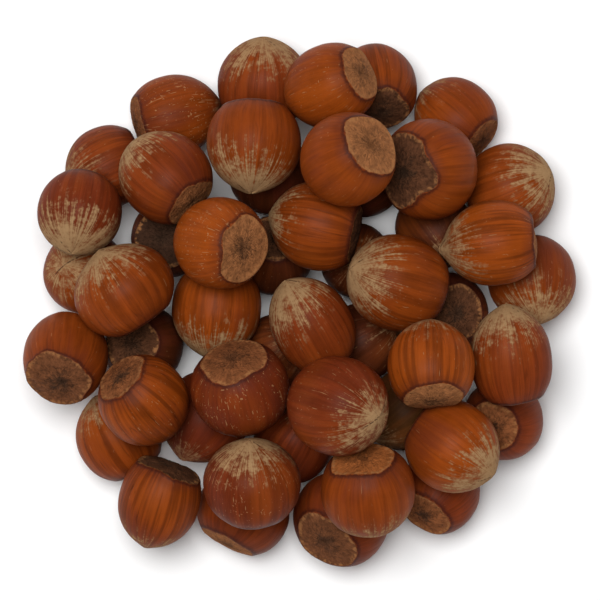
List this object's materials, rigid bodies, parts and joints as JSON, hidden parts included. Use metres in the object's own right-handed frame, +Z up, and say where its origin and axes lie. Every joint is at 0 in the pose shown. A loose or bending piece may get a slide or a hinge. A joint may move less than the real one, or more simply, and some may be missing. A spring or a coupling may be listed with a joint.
{
  "type": "heap of hazelnuts in shell",
  "caption": "Loose heap of whole hazelnuts in their shells, smooth brown shells with pale dusty tips and rough scars, lying on a flat surface.",
  "frame": {"origin": "middle of the bottom of the heap's box, on the surface that it lies on", "axes": "+Z up, +X along the heap's longer side, +Y along its shorter side"},
  "size_m": [0.1256, 0.1208, 0.0511],
  "materials": {
    "shell_amber": "satin",
    "shell_russet": "satin",
    "shell_umber": "satin"
  },
  "bodies": {
    "root": {"hazelnut_01": "shell_russet", "hazelnut_02": "shell_amber", "hazelnut_03": "shell_russet", "hazelnut_04": "shell_russet", "hazelnut_05": "shell_amber", "hazelnut_06": "shell_russet", "hazelnut_07": "shell_russet", "hazelnut_08": "shell_amber", "hazelnut_09": "shell_amber", "hazelnut_10": "shell_russet", "hazelnut_11": "shell_russet", "hazelnut_12": "shell_russet", "hazelnut_13": "shell_amber", "hazelnut_14": "shell_amber", "hazelnut_15": "shell_russet", "hazelnut_16": "shell_russet", "hazelnut_17": "shell_amber", "hazelnut_18": "shell_russet", "hazelnut_19": "shell_russet", "hazelnut_20": "shell_amber", "hazelnut_21": "shell_russet", "hazelnut_22": "shell_russet", "hazelnut_23": "shell_amber", "hazelnut_24": "shell_russet", "hazelnut_25": "shell_amber", "hazelnut_26": "shell_russet", "hazelnut_27": "shell_russet", "hazelnut_28": "shell_russet", "hazelnut_29": "shell_amber", "hazelnut_30": "shell_russet", "hazelnut_31": "shell_russet", "hazelnut_32": "shell_russet", "hazelnut_33": "shell_russet", "hazelnut_34": "shell_russet", "hazelnut_35": "shell_russet", "hazelnut_36": "shell_russet", "hazelnut_37": "shell_umber", "hazelnut_38": "shell_umber", "hazelnut_39": "shell_umber", "hazelnut_40": "shell_umber", "hazelnut_41": "shell_umber", "hazelnut_42": "shell_umber", "hazelnut_43": "shell_umber", "hazelnut_44": "shell_umber", "hazelnut_45": "shell_umber", "hazelnut_46": "shell_umber", "hazelnut_47": "shell_umber", "hazelnut_48": "shell_umber", "hazelnut_49": "shell_umber"}
  },
  "joints": []
}
